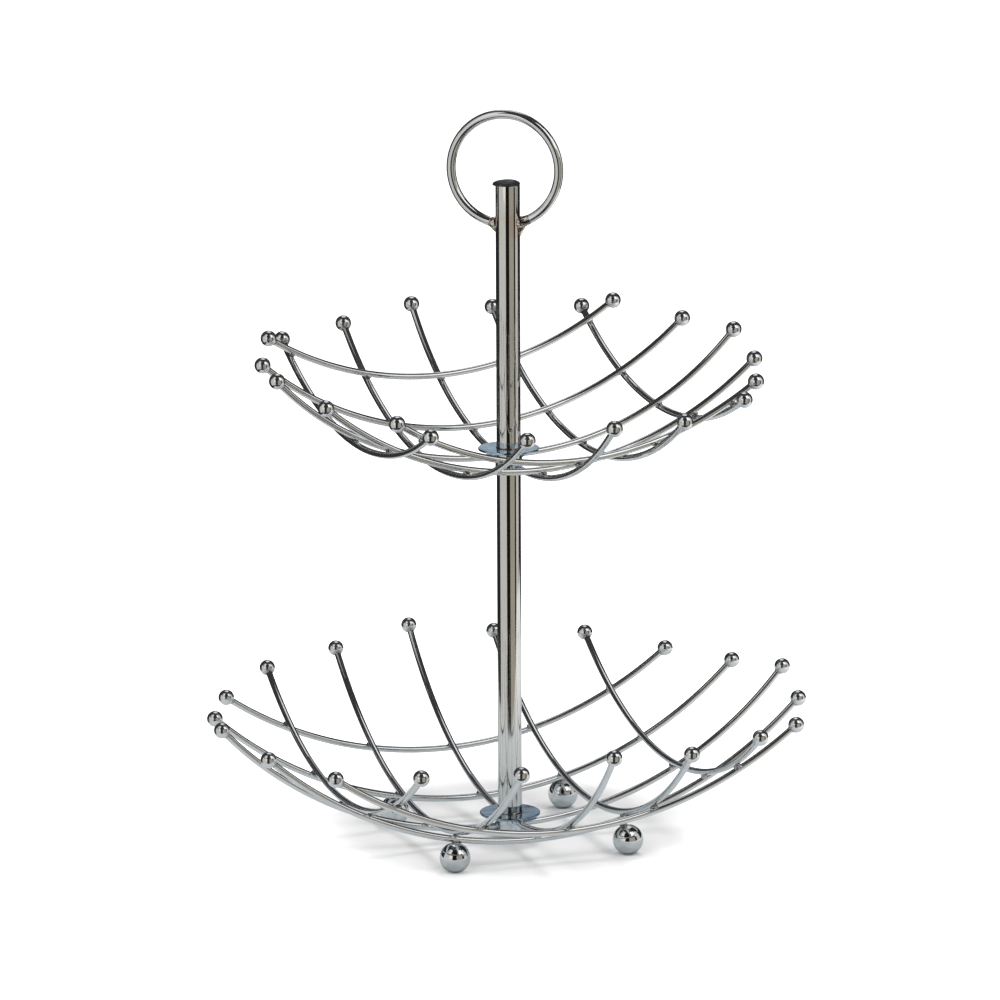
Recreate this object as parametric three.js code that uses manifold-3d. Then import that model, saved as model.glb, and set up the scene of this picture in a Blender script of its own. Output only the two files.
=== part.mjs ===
// A two-tier wire fruit basket. Two bowls of bent, ball-ended rods are threaded on a central
// column: lower bowl on four ball feet, lower tube, upper bowl, upper tube, carrying ring.
// Millimetres, +Z up. The origin is on the floor, on the column's axis. The lower bowl's rods
// run along X and Y, and -Y is the front.

import * as THREE from 'three';
import { mergeVertices } from 'three/addons/utils/BufferGeometryUtils.js';
import Module from 'manifold-3d';

const wasm = await Module();
wasm.setup();

// ---- Driving dimensions ----------------------------------------------------------------------

const seatGap = 0.3; // between round pieces that are welded, pressed or screwed together

const rodDiameter = 3.5;
const ballDiameter = 8.5;

const lowerRodPitch = 46;
const lowerBendRadius = 212;
const lowerMiddleOverhang = 82; // from the last crossing to the ball's centre, along the bend
const lowerSecondOverhang = 67;
const lowerOuterOverhang = 40;
const lowerBowlTurn = 0;
const lowerBowlLean = 1.2; // degrees: its feet stand level, but its rods sprang as they cooled
const lowerLeanFacing = -117; // degrees from the front to the side that it leans to

const upperRodPitch = 43.5;
const upperBendRadius = 184;
const upperMiddleOverhang = 54;
const upperSecondOverhang = 41;
const upperOuterOverhang = 15;
const upperBowlTurn = 93.7; // degrees: the same bowl a quarter on, and where its thread stopped
const upperBowlLean = 4.5; // degrees: its rods are welded to a level hub a little out of true
const upperLeanFacing = -14; // degrees from the front to the side that it leans to

const footDiameter = 16;
const footFlatDiameter = 4;
const footNeckDiameter = 3; // the weld neck between a foot and its rod

const plateDiameter = 32;
const plateThickness = 1.2;
const sleeveDiameter = 14;
const sleeveSkirt = 0.5; // how far a hub sleeve reaches below the rods that butt on it

const tubeDiameter = 12.7;
const tubeWall = 1.2;
const lowerTubeLength = 185;
const upperTubeLength = 138.5;

const threadDiameter = 6;
const threadChamfer = 0.75;
const insertLength = 14;
const insertRelief = 0.6; // depth of the waist between an insert's two lands
const insertLand = 4;
const threadEngagement = 10;
const screwHeadDiameter = 10;
const screwHeadHeight = 3;
const socketAcrossFlats = 4;
const socketDepth = 2;

const handleRingDiameter = 57.2; // to the middle of the wire
const handleWireDiameter = 4.8;
const handleRise = 8; // ring's centre above the column's top
const handleShift = -1.5; // ring's centre off the column's axis, along the ring's plane
const handleTurn = -34.5; // degrees from the X axis

const capFlangeDiameter = 14.4;
const capRim = 0.8;
const capCrown = 1.8;
const capShankLength = 9;
const capShankDiameter = 8;
const capFinThickness = 0.8;
const capFinCount = 3;

// ---- Fineness --------------------------------------------------------------------------------

const rodSides = 8;
const stepsPerPitch = 2;
const stepsPerOverhang = 3;
const ballSteps = 5;
const footSides = 16;
const footSteps = 9;
const roundSides = 24;
const ringSides = 10;
const ringSteps = 44;
const crownSteps = 4;

// ---- Materials -------------------------------------------------------------------------------

const materialOf = {
  chrome: new THREE.MeshStandardMaterial({ color: 0xd8dadd, metalness: 1, roughness: 0.06 }),
  steel: new THREE.MeshStandardMaterial({ color: 0x9a9c9f, metalness: 1, roughness: 0.35 }),
  plastic: new THREE.MeshStandardMaterial({ color: 0x141416, metalness: 0, roughness: 0.45 }),
};

// ---- Shared helpers --------------------------------------------------------------------------

const degrees = Math.PI / 180;

/** Height of an arc of the given radius above its lowest point, at a distance to one side. */
function arcRise(radius, distance) {
  return radius - Math.sqrt(radius ** 2 - distance ** 2);
}

/** A solid turned about Z from [radius, height] points that run up its outside. */
function turned(profile, sides = roundSides) {
  const points = profile.map(([radius, height]) => new THREE.Vector2(radius, height));
  return new THREE.LatheGeometry(points, sides).rotateX(Math.PI / 2);
}

/** A bush turned about Z: outer [radius, height] points, closed by a plain bore. */
function turnedBush(boreRadius, outside) {
  const bottom = outside[0][1];
  const top = outside.at(-1)[1];
  return turned([[boreRadius, bottom], ...outside, [boreRadius, top], [boreRadius, bottom]]);
}

/** The geometry with its shared vertices merged, as a solid that can be joined and cut. */
function toSolid(geometry) {
  const bare = geometry.clone();
  bare.deleteAttribute('normal');
  bare.deleteAttribute('uv');
  const merged = mergeVertices(bare.index ? bare.toNonIndexed() : bare, 1e-5);
  return new wasm.Manifold(new wasm.Mesh({
    numProp: 3,
    vertProperties: new Float32Array(merged.attributes.position.array),
    triVerts: new Uint32Array(merged.index.array),
  }));
}

/** A joined or cut solid as a geometry. */
function fromSolid(solid) {
  const mesh = solid.getMesh();
  const geometry = new THREE.BufferGeometry();
  geometry.setAttribute('position', new THREE.BufferAttribute(mesh.vertProperties, 3));
  geometry.setIndex(new THREE.BufferAttribute(mesh.triVerts, 1));
  geometry.computeVertexNormals();
  return geometry;
}

function named(name, geometry, material) {
  const mesh = new THREE.Mesh(geometry, material);
  mesh.name = name;
  return mesh;
}

// ---- Ball-ended rods -------------------------------------------------------------------------

/** Points round a ball from the rod's side to its pole, as [radius, distance along the rod]. */
function ballProfile(centre) {
  const ballRadius = ballDiameter / 2;
  const rodJoin = Math.PI - Math.asin(rodDiameter / ballDiameter);
  const points = [];
  for (let step = 0; step < ballSteps; step += 1) {
    const angle = rodJoin * (1 - step / ballSteps);
    points.push([ballRadius * Math.sin(angle), centre + ballRadius * Math.cos(angle)]);
  }
  points.push([0, centre + ballRadius]);
  return points;
}

/** Distances along the bend, from its middle: every crossing and even steps between them. */
function rodStations(radius, pitch, overhang) {
  const stations = [];
  for (let step = 1; step <= 2 * stepsPerPitch; step += 1) {
    stations.push(radius * Math.asin((step * pitch) / stepsPerPitch / radius));
  }
  const lastCrossing = stations.at(-1);
  for (let step = 1; step < stepsPerOverhang; step += 1) {
    stations.push(lastCrossing + (overhang * step) / stepsPerOverhang);
  }
  return { stations, end: lastCrossing + overhang };
}

/** Rolls a rod turned along Z onto an arc in the YZ plane whose lowest point is the origin. */
function rollOntoArc(geometry, radius) {
  const position = geometry.attributes.position;
  for (let i = 0; i < position.count; i += 1) {
    const angle = position.getZ(i) / radius;
    const toCentre = radius + position.getY(i);
    position.setXYZ(i, -position.getX(i), toCentre * Math.sin(angle),
      radius - toCentre * Math.cos(angle));
  }
  return geometry.scale(-1, 1, 1);
}

/** A whole rod: a ball at both ends of the bend. */
function wholeRod(radius, pitch, overhang) {
  const { stations, end } = rodStations(radius, pitch, overhang);
  const half = [...stations.map((along) => [rodDiameter / 2, along]), ...ballProfile(end)];
  const otherHalf = half.map(([size, along]) => [size, -along]).reverse();
  return rollOntoArc(turned([...otherHalf, [rodDiameter / 2, 0], ...half], rodSides), radius);
}

/** The room that a rod takes up between its outermost crossings, with a gap round it. */
function rodRoom(radius, pitch) {
  const size = rodDiameter / 2 + seatGap;
  const { stations } = rodStations(radius, pitch, 0);
  const half = stations.slice(0, 2 * stepsPerPitch).map((along) => [size, along]);
  const otherHalf = half.map(([reach, along]) => [reach, -along]).reverse();
  const end = half.at(-1)[1];
  return rollOntoArc(turned([[0, -end], ...otherHalf, [size, 0], ...half, [0, end]], rodSides),
    radius);
}

/** Half a rod: cut square where it butts on the hub sleeve, with a ball at its other end. */
function halfRod(radius, pitch, overhang, start) {
  const { stations, end } = rodStations(radius, pitch, overhang);
  const half = [...stations.map((along) => [rodDiameter / 2, along]), ...ballProfile(end)];
  return rollOntoArc(turned([[0, start], [rodDiameter / 2, start], ...half], rodSides), radius);
}

// ---- Bowls -----------------------------------------------------------------------------------

/**
 * The heights and radii that a bowl's pieces share, measured from its lowest rod's middle. The
 * hub stays level when the rods lean, so it stands clear of their high and their low side.
 */
function bowlLayout(pitch, bendRadius, lean) {
  const rodSpacing = rodDiameter + seatGap;
  const innerRadius = bendRadius - rodSpacing;
  const rodRadius = rodDiameter / 2;
  const plateRadius = plateDiameter / 2;
  const sleeveRadius = sleeveDiameter / 2;
  return {
    pitch,
    bendRadius,
    rodSpacing,
    innerRadius,
    halfRodStart: sleeveRadius + seatGap + (rodSpacing / 2) * Math.sin(lean),
    plateBottom: rodSpacing + arcRise(innerRadius, plateRadius) + rodRadius + seatGap
      + plateRadius * Math.tan(lean),
    sleeveBottom: -rodRadius - sleeveSkirt - sleeveRadius * Math.tan(lean),
  };
}

/**
 * One layer of five rods along Y. The middle one is two halves that butt on the hub sleeve. Each
 * rod away from the middle stands on sloping rods, so it is set higher by the slope.
 */
function rodLayer(name, layout, radius, lift, overhangs) {
  const layer = new THREE.Group();
  for (const turn of [0, 1]) {
    const rod = named(`${name}_half_rod_${turn + 1}`,
      halfRod(radius, layout.pitch, overhangs[0], layout.halfRodStart), materialOf.chrome);
    rod.position.z = lift;
    rod.rotation.z = turn * Math.PI;
    layer.add(rod);
  }
  [-2, -1, 1, 2].forEach((place, index) => {
    const across = place * layout.pitch;
    const slope = Math.asin(across / layout.bendRadius);
    const rod = named(`${name}_rod_${index + 1}`,
      wholeRod(radius, layout.pitch, overhangs[Math.abs(place)]), materialOf.chrome);
    rod.position.set(across, 0, arcRise(layout.bendRadius, across) + lift / Math.cos(slope));
    layer.add(rod);
  });
  return layer;
}

/**
 * Both layers of a bowl, about the point midway between them on the column's axis. The outer
 * layer is below and crosses the inner one at a right angle.
 */
function rodBowl(tier, layout, overhangs) {
  const bowl = new THREE.Group();
  bowl.position.z = -layout.rodSpacing / 2;
  const inner = rodLayer(`${tier}_inner`, layout, layout.innerRadius, layout.rodSpacing, overhangs);
  const outer = rodLayer(`${tier}_outer`, layout, layout.bendRadius, 0, overhangs);
  outer.rotation.z = Math.PI / 2;
  bowl.add(inner, outer);
  return bowl;
}

/** A bowl, turned about the column and then leaned towards the side that its lean faces. */
function leaningBowl(tier, layout, overhangs, height, { turn, lean, facing }) {
  const onHub = new THREE.Group();
  onHub.rotation.z = (turn - facing) * degrees;
  onHub.add(rodBowl(tier, layout, overhangs));
  const bowl = new THREE.Group();
  bowl.position.z = height + layout.rodSpacing / 2;
  bowl.rotation.order = 'ZXY';
  bowl.rotation.x = lean * degrees;
  bowl.rotation.z = facing * degrees;
  bowl.add(onHub);
  bowl.updateMatrixWorld(true);
  return bowl;
}

/** The round plate welded over the middle of a bowl. */
function hubPlate(tier, height) {
  const rim = plateThickness / 4;
  const radius = plateDiameter / 2;
  const plate = named(`${tier}_hub_plate`, turnedBush(threadDiameter / 2 + seatGap, [
    [radius - rim, 0],
    [radius, rim],
    [radius, plateThickness - rim],
    [radius - rim, plateThickness],
  ]), materialOf.chrome);
  plate.position.z = height;
  return plate;
}

/** The sleeve under a hub plate that the middle rods butt on, with a counterbore if it has one. */
function hubSleeve(tier, bottom, top, counterbore) {
  const bore = threadDiameter / 2 + seatGap;
  const radius = sleeveDiameter / 2;
  const height = top - bottom;
  const inside = counterbore
    ? [[bore, counterbore.depth], [counterbore.radius, counterbore.depth], [counterbore.radius, 0]]
    : [[bore, 0]];
  const sleeve = named(`${tier}_hub_sleeve`, turned([
    inside.at(-1),
    [radius, 0],
    [radius, height],
    [bore, height],
    ...inside,
  ]), materialOf.chrome);
  sleeve.position.z = bottom;
  return sleeve;
}

// ---- Feet ------------------------------------------------------------------------------------

const footRadius = footDiameter / 2;
const footCentreHeight = Math.sqrt(footRadius ** 2 - (footFlatDiameter / 2) ** 2);

/** A steel ball with a small flat spot to stand on. */
function footBall() {
  const flatEdge = Math.asin(footFlatDiameter / footDiameter);
  const profile = [[0, -footCentreHeight]];
  for (let step = 0; step < footSteps; step += 1) {
    const angle = flatEdge + ((Math.PI - flatEdge) * step) / footSteps;
    profile.push([footRadius * Math.sin(angle), -footRadius * Math.cos(angle)]);
  }
  profile.push([0, footRadius]);
  return toSolid(turned(profile, footSides));
}

/**
 * Where the feet stand, square to a level bowl under the crossings of its second rods: how far
 * out, and how high that carries the bowl's lowest rod.
 */
function footing(layout) {
  const slope = Math.tan(Math.asin(layout.pitch / layout.bendRadius));
  const reach = (footDiameter + rodDiameter) / 2 + seatGap;
  const outward = (reach * slope) / Math.hypot(slope, slope, 1);
  const drop = reach / Math.hypot(slope, slope, 1);
  return {
    spread: layout.pitch + outward,
    lowestRod: footCentreHeight + drop - 2 * arcRise(layout.bendRadius, layout.pitch),
  };
}

/**
 * Four feet on the floor under a bowl that may lean. Each has a weld neck that reaches up to the
 * outer rod over it, and both are hollowed where that rod lies.
 */
function ballFeet(layout, spread, bowl) {
  const feet = new THREE.Group();
  const crossingHeight = 2 * arcRise(layout.bendRadius, layout.pitch) - layout.rodSpacing / 2;
  for (const [side, signX] of [['left', -1], ['right', 1]]) {
    for (const [end, signY, overhead] of [['front', -1, 'lower_outer_rod_2'],
      ['back', 1, 'lower_outer_rod_3']]) {
      const place = new THREE.Vector3(signX * spread, signY * spread, footCentreHeight);
      const crossing = new THREE.Vector3(signX * layout.pitch, signY * layout.pitch, crossingHeight)
        .applyMatrix4(bowl.matrixWorld.clone().multiply(bowl.children[0].matrix));
      const up = crossing.clone().sub(place);
      const neckSize = footNeckDiameter / 2;
      const neck = turned([[0, 0], [neckSize, 0], [neckSize, up.length()], [0, up.length()]],
        footSides);
      neck.applyQuaternion(new THREE.Quaternion()
        .setFromUnitVectors(new THREE.Vector3(0, 0, 1), up.clone().normalize()));
      const room = rodRoom(layout.bendRadius, layout.pitch)
        .applyMatrix4(bowl.getObjectByName(overhead).matrixWorld)
        .translate(-place.x, -place.y, -place.z);
      const solid = footBall().add(toSolid(neck)).subtract(toSolid(room));
      const foot = named(`${end}_${side}_foot`, fromSolid(solid), materialOf.chrome);
      foot.position.copy(place);
      feet.add(foot);
    }
  }
  return feet;
}

// ---- Column ----------------------------------------------------------------------------------

function columnTube(name, bottom, length) {
  const tube = named(name, turnedBush(tubeDiameter / 2 - tubeWall, [
    [tubeDiameter / 2, 0],
    [tubeDiameter / 2, length],
  ]), materialOf.chrome);
  tube.position.z = bottom;
  return tube;
}

/** A tapped plug pressed into a tube's end, with a waist between two lands. */
function threadedInsert(name, bottom) {
  const radius = tubeDiameter / 2 - tubeWall - seatGap;
  const waist = radius - insertRelief;
  const insert = named(name, turnedBush(threadDiameter / 2 + seatGap, [
    [radius, 0],
    [radius, insertLand],
    [waist, insertLand + insertRelief],
    [waist, insertLength - insertLand - insertRelief],
    [radius, insertLength - insertLand],
    [radius, insertLength],
  ]), materialOf.steel);
  insert.position.z = bottom;
  return insert;
}

/** A plain threaded stud with chamfered ends, shared by the two inserts that it joins. */
function joiningStud(bottom, length) {
  const radius = threadDiameter / 2;
  const stud = named('joining_stud', turned([
    [0, 0],
    [radius - threadChamfer, 0],
    [radius, threadChamfer],
    [radius, length - threadChamfer],
    [radius - threadChamfer, length],
    [0, length],
  ]), materialOf.steel);
  stud.position.z = bottom;
  return stud;
}

/** The low-head socket screw that holds the lower tube down on the lower bowl. */
function baseScrew(bottom, length) {
  const radius = threadDiameter / 2;
  const body = toSolid(turned([
    [0, 0],
    [screwHeadDiameter / 2, 0],
    [screwHeadDiameter / 2, screwHeadHeight],
    [radius, screwHeadHeight],
    [radius, length - threadChamfer],
    [radius - threadChamfer, length],
    [0, length],
  ]));
  const socketRadius = socketAcrossFlats / 2 / Math.cos(Math.PI / 6);
  const socket = new THREE.CylinderGeometry(socketRadius, socketRadius, 2 * socketDepth, 6)
    .rotateX(Math.PI / 2);
  const screw = named('base_screw', fromSolid(body.subtract(toSolid(socket))), materialOf.steel);
  screw.position.z = bottom;
  return screw;
}

// ---- Top of the column -----------------------------------------------------------------------

/** A wire ring in the XZ plane, coped to fit the sides of the tube that it is brazed to. */
function carryingRing(columnTop) {
  const ringRadius = handleRingDiameter / 2;
  const wireRadius = handleWireDiameter / 2;
  const ring = new THREE.TorusGeometry(ringRadius, wireRadius, ringSides, ringSteps)
    .rotateX(Math.PI / 2)
    .translate(handleShift, 0, 0);
  const cope = tubeDiameter / 2 + seatGap;
  const copeLength = ringRadius + 2 * wireRadius;
  const cutter = new THREE.CylinderGeometry(cope, cope, copeLength, roundSides)
    .rotateX(Math.PI / 2)
    .translate(0, 0, -copeLength / 2);
  const handle = named('carrying_ring', fromSolid(toSolid(ring).subtract(toSolid(cutter))),
    materialOf.chrome);
  handle.position.z = columnTop + handleRise;
  handle.rotation.z = handleTurn * degrees;
  return handle;
}

/** The plastic plug in the column's top: a crowned flange and a finned shank. */
function endCap(columnTop) {
  const bore = tubeDiameter / 2 - tubeWall;
  const flange = capFlangeDiameter / 2;
  const shank = capShankDiameter / 2;
  const finPitch = capShankLength / (capFinCount + 1);
  const profile = [[0, -capShankLength], [shank, -capShankLength]];
  for (let fin = 1; fin <= capFinCount; fin += 1) {
    const height = -capShankLength + fin * finPitch;
    profile.push([shank, height - capFinThickness / 2]);
    profile.push([bore - seatGap, height]);
    profile.push([shank, height + capFinThickness / 2]);
  }
  profile.push([shank, 0], [flange, 0]);
  for (let step = 0; step < crownSteps; step += 1) {
    const angle = (Math.PI / 2) * (step / crownSteps);
    profile.push([flange * Math.cos(angle), capRim + capCrown * Math.sin(angle)]);
  }
  profile.push([0, capRim + capCrown]);
  const cap = named('end_cap', turned(profile), materialOf.plastic);
  cap.position.z = columnTop;
  return cap;
}

// ---- Assembly --------------------------------------------------------------------------------

const lowerLayout = bowlLayout(lowerRodPitch, lowerBendRadius, Math.abs(lowerBowlLean) * degrees);
const upperLayout = bowlLayout(upperRodPitch, upperBendRadius, Math.abs(upperBowlLean) * degrees);

const { spread: footSpread, lowestRod: lowerBowlHeight } = footing(lowerLayout);
const lowerSleeveBottom = lowerBowlHeight + lowerLayout.sleeveBottom;
const lowerPlateBottom = lowerBowlHeight + lowerLayout.plateBottom;
const lowerTubeBottom = lowerPlateBottom + plateThickness;
const lowerTubeTop = lowerTubeBottom + lowerTubeLength;

const upperBowlHeight = lowerTubeTop - upperLayout.sleeveBottom;
const upperPlateBottom = upperBowlHeight + upperLayout.plateBottom;
const upperTubeBottom = upperPlateBottom + plateThickness;
const columnTop = upperTubeBottom + upperTubeLength;

const headRecess = { radius: screwHeadDiameter / 2 + seatGap, depth: screwHeadHeight + seatGap };
const studBottom = lowerTubeTop - threadEngagement;
const studTop = upperTubeBottom + threadEngagement;

const fruitBasket = new THREE.Group();

const lowerBowl = leaningBowl('lower', lowerLayout,
  [lowerMiddleOverhang, lowerSecondOverhang, lowerOuterOverhang], lowerBowlHeight,
  { turn: lowerBowlTurn, lean: lowerBowlLean, facing: lowerLeanFacing });
const upperBowl = leaningBowl('upper', upperLayout,
  [upperMiddleOverhang, upperSecondOverhang, upperOuterOverhang], upperBowlHeight,
  { turn: upperBowlTurn, lean: upperBowlLean, facing: upperLeanFacing });

fruitBasket.add(
  ballFeet(lowerLayout, footSpread, lowerBowl),
  lowerBowl,
  hubSleeve('lower', lowerSleeveBottom, lowerPlateBottom, headRecess),
  hubPlate('lower', lowerPlateBottom),
  baseScrew(lowerSleeveBottom, lowerTubeBottom + threadEngagement - lowerSleeveBottom),
  threadedInsert('lower_tube_bottom_insert', lowerTubeBottom),
  columnTube('lower_tube', lowerTubeBottom, lowerTubeLength),
  threadedInsert('lower_tube_top_insert', lowerTubeTop - insertLength),
  joiningStud(studBottom, studTop - studBottom),
  upperBowl,
  hubSleeve('upper', lowerTubeTop, upperPlateBottom, null),
  hubPlate('upper', upperPlateBottom),
  threadedInsert('upper_tube_insert', upperTubeBottom),
  columnTube('upper_tube', upperTubeBottom, upperTubeLength),
  endCap(columnTop),
  carryingRing(columnTop),
);

export default fruitBasket;
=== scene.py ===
"""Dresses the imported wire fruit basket: smooth chromed rods, welds, feet, hubs, column, ring and cap."""

import math

import bmesh
import bpy
import numpy as np
from mathutils import Matrix, Vector


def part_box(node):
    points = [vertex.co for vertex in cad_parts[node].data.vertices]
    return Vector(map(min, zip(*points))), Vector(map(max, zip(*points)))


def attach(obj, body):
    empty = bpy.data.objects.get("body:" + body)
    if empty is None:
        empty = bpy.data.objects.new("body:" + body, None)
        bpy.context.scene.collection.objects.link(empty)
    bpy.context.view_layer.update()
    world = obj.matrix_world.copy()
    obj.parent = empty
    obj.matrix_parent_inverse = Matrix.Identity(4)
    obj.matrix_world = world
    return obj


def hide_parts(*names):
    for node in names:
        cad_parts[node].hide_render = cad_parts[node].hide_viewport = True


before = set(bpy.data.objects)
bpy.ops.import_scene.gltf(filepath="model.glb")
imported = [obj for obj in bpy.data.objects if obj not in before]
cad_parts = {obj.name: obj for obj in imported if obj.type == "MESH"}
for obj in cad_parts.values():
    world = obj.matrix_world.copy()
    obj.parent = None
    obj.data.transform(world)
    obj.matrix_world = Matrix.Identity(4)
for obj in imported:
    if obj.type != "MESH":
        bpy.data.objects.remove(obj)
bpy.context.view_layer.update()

bl_info = {
    "name": "Wire Fruit Basket",
    "version": (1, 0, 0),
    "blender": (4, 5, 0),
    "location": "3D View > Sidebar > Fruit Basket",
    "description": "Builds the finished pieces of a two-tier chromed wire fruit basket",
    "category": "Object",
}

MM = 0.001
CHROME_SLOT = "polished_chrome"
PLASTIC_SLOT = "black_plastic"
TIERS = ("lower", "upper")
RODS_PER_BOWL = 12
# How dark each hub plate's shared finish is made: the lower plate's darkening is painted shade.
PLATE_PAINTED_SHADE = {"upper": 1.0, "lower": 0.62}

# How finely round things are made.
ROD_STEPS = 64
BALL_STEPS = 16
RING_STEPS = 150
RING_SIDES = 32
ROUND_SIDES = 96
FOOT_SIDES = 64
FOOT_RINGS = 44
BEAD_STEPS = 8
COAT_STEPS = 8
RUN_STEPS = 6
CAP_STEPS = 12
# How many places along a rod are tried when looking for what lies nearest to it.
SEARCH_STEPS = 900

# Rods whose middle lines come closer than this are welded there.
WELD_GAP = 5 * MM
# A rod that ends nearer the axis than this is a half, butted on a hub sleeve.
HALF_ROD_END = 50 * MM
# Where the bar's outline is set before a ball, in millimetres back from the weld line.
NECK_STEPS = (1.6, 1.0, 0.6, 0.35, 0.15)
# How far the evenly spaced outline of a rod stays from a ball's outside and from a cut end.
BALL_CLEAR = 1.8 * MM
CUT_CLEAR = 0.6 * MM
# The softened cut end of a half rod, as distances along it and shares of its radius.
CUT_END = ((0, 0), (0.03 * MM, 0.72), (0.12 * MM, 0.9), (0.4 * MM, 1))

# The seed of the lower bowl's welds. The upper bowl's is the next one.
FIRST_WELD_SEED = 3
# How big a weld is at a hub sleeve and on a foot, against one between two rods.
SLEEVE_WELD = 1.15
FOOT_WELD = 1.2
# How far apart the nuggets are that fill the gap between a foot and its rod.
FOOT_WELD_STEP = 0.9 * MM
# How far the dull band at a ball's weld line reaches each way.
JOINT_REACH = 0.9 * MM
# The grain of the skin that joins the brazing's runs.
BRAZE_SKIN = 0.28 * MM
# The cap's shank radius, and the height and width of its flange's softened rim.
CAP_SHANK = 4 * MM
CAP_RIM = 0.5 * MM
# CAD nodes that keep their own meshes.
PLAIN_STEEL_NODES = ("base_screw", "joining_stud", "lower_tube_bottom_insert",
                     "lower_tube_top_insert", "upper_tube_insert")

# The stage, in metres. A face of a panel spans about PANEL_FACE degrees.
FLOOR_RADIUS = 7
LAMP_DISTANCE = 1.7
PANEL_FACE = 4
DAYLIGHT = 0.5
WHITE = (1, 1, 1)

# The brazing at each end of the ring: the angle of ring that it covers in radians, how much of it
# ran down the tube, and the seed of its unevenness.
BRAZES = {"left": (0.095, 0.75, 7), "right": (0.19, 1.15, 11)}


def node_points(node):
    """The corners of a CAD node, as rows of x, y and z in metres."""
    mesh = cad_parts[node].data
    points = np.zeros(len(mesh.vertices) * 3)
    mesh.vertices.foreach_get("co", points)
    return points.reshape(-1, 3)


def from_axis(points):
    """How far each point is from the column's axis."""
    return np.hypot(points[:, 0], points[:, 1])


# ---- Sizes and colours -----------------------------------------------------------------------


def length(label, about, size):
    return bpy.props.FloatProperty(name=label, description=about, default=size, unit="LENGTH")


def angle(label, about, degrees):
    return bpy.props.FloatProperty(
        name=label, description=about, default=math.radians(degrees), subtype="ANGLE")


def colour(label, about, *linear):
    return bpy.props.FloatVectorProperty(
        name=label, description=about, default=linear, subtype="COLOR")


class BasketRodSizes(bpy.types.PropertyGroup):
    """Round bar, balls and welds of both bowls."""

    rod_diameter: length("Rod diameter", "Round bar that both bowls are bent from", 3.5 * MM)
    ball_diameter: length("Ball diameter", "Ball on the end of every rod", 8.5 * MM)
    ball_weld: length("Ball weld", "How softly a rod runs into its ball", 0.45 * MM)
    sides: bpy.props.IntProperty(
        name="Rod sides", description="Facets round a rod before it is shaded smooth", default=24)
    nugget_diameter: length("Weld diameter", "Squeezed metal where two rods cross", 3.9 * MM)
    nugget_height: length("Weld height", "Height of a weld between two rods", 2.2 * MM)
    nugget_variation: bpy.props.FloatProperty(
        name="Weld variation", description="How much the welds differ in size",
        default=0.18, subtype="FACTOR")


class BasketColumnSizes(bpy.types.PropertyGroup):
    """Feet, hubs, tubes, ring and cap."""

    edge_round: length("Edge rounding", "Rounding left on cut tube and plate edges", 0.3 * MM)
    tube_wall: length("Tube wall", "Wall thickness of both column tubes", 1.2 * MM)
    foot_flat: length("Foot flat", "Diameter of the flat that a foot stands on", 4 * MM)
    foot_fillet: length("Tube foot weld", "Weld bead between a tube and its plate", 0.55 * MM)
    ring_wire: length("Ring wire", "Diameter of the carrying ring's wire", 4.8 * MM)
    cap_slip: length("Cap slip", "How far the cap's flange sits off the tube's axis", 0.7 * MM)
    cap_tilt: angle("Cap tilt", "How crooked the pressed-in cap sits", 1.2)


class BasketColours(bpy.types.PropertyGroup):
    """Finishes, as linear colours."""

    chrome: colour("Chrome", "Bright chrome on rods, balls and ring", 0.80, 0.81, 0.82)
    chrome_haze: colour(
        "Chrome haze", "Slightly duller chrome, where it was handled", 0.70, 0.695, 0.68)
    tube: colour("Tube chrome", "Slightly warmer chrome on both column tubes", 0.80, 0.79, 0.765)
    plate: colour("Hub plate", "Blue-bright finish of the hub plates", 0.46, 0.60, 0.78)
    heat_tint: colour(
        "Heat tint", "Straw and rose tint beside the brazed joints", 0.66, 0.52, 0.42)
    braze: colour("Braze", "Plated-over brass filler at the ring's ends", 0.44, 0.36, 0.31)
    weld: colour("Weld", "Plated-over weld metal, darker than the bar", 0.13, 0.13, 0.13)
    steel: colour("Plain steel", "Turned screw, stud and inserts", 0.42, 0.43, 0.44)
    plastic: colour("Cap plastic", "Black plastic of the end cap", 0.012, 0.012, 0.013)


# ---- Node trees ------------------------------------------------------------------------------


class Signal:
    """A node's output, so that node maths reads as plain arithmetic."""

    def __init__(self, nodes, socket):
        self.nodes = nodes
        self.socket = socket

    def maths(self, operation, first, second):
        return self.nodes.node("ShaderNodeMath", {"operation": operation}, {0: first, 1: second})

    def __add__(self, other):
        return self.maths("ADD", self, other)

    def __radd__(self, other):
        return self.maths("ADD", other, self)

    def __sub__(self, other):
        return self.maths("SUBTRACT", self, other)

    def __rsub__(self, other):
        return self.maths("SUBTRACT", other, self)

    def __mul__(self, other):
        return self.maths("MULTIPLY", self, other)

    def __rmul__(self, other):
        return self.maths("MULTIPLY", other, self)


class NodeTree:
    """A node tree that is filled one node at a time."""

    def __init__(self, tree):
        self.tree = tree

    def node(self, kind, settings=None, values=None, output=0):
        """Adds a node, with its settings first and then its sockets' values or links."""
        made = self.tree.nodes.new(kind)
        for key, value in (settings or {}).items():
            setattr(made, key, value)
        for key, value in (values or {}).items():
            if isinstance(value, Signal):
                self.tree.links.new(value.socket, made.inputs[key])
            else:
                made.inputs[key].default_value = value
        outputs = made.outputs
        return Signal(self, outputs[output]) if len(outputs) else made


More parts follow.
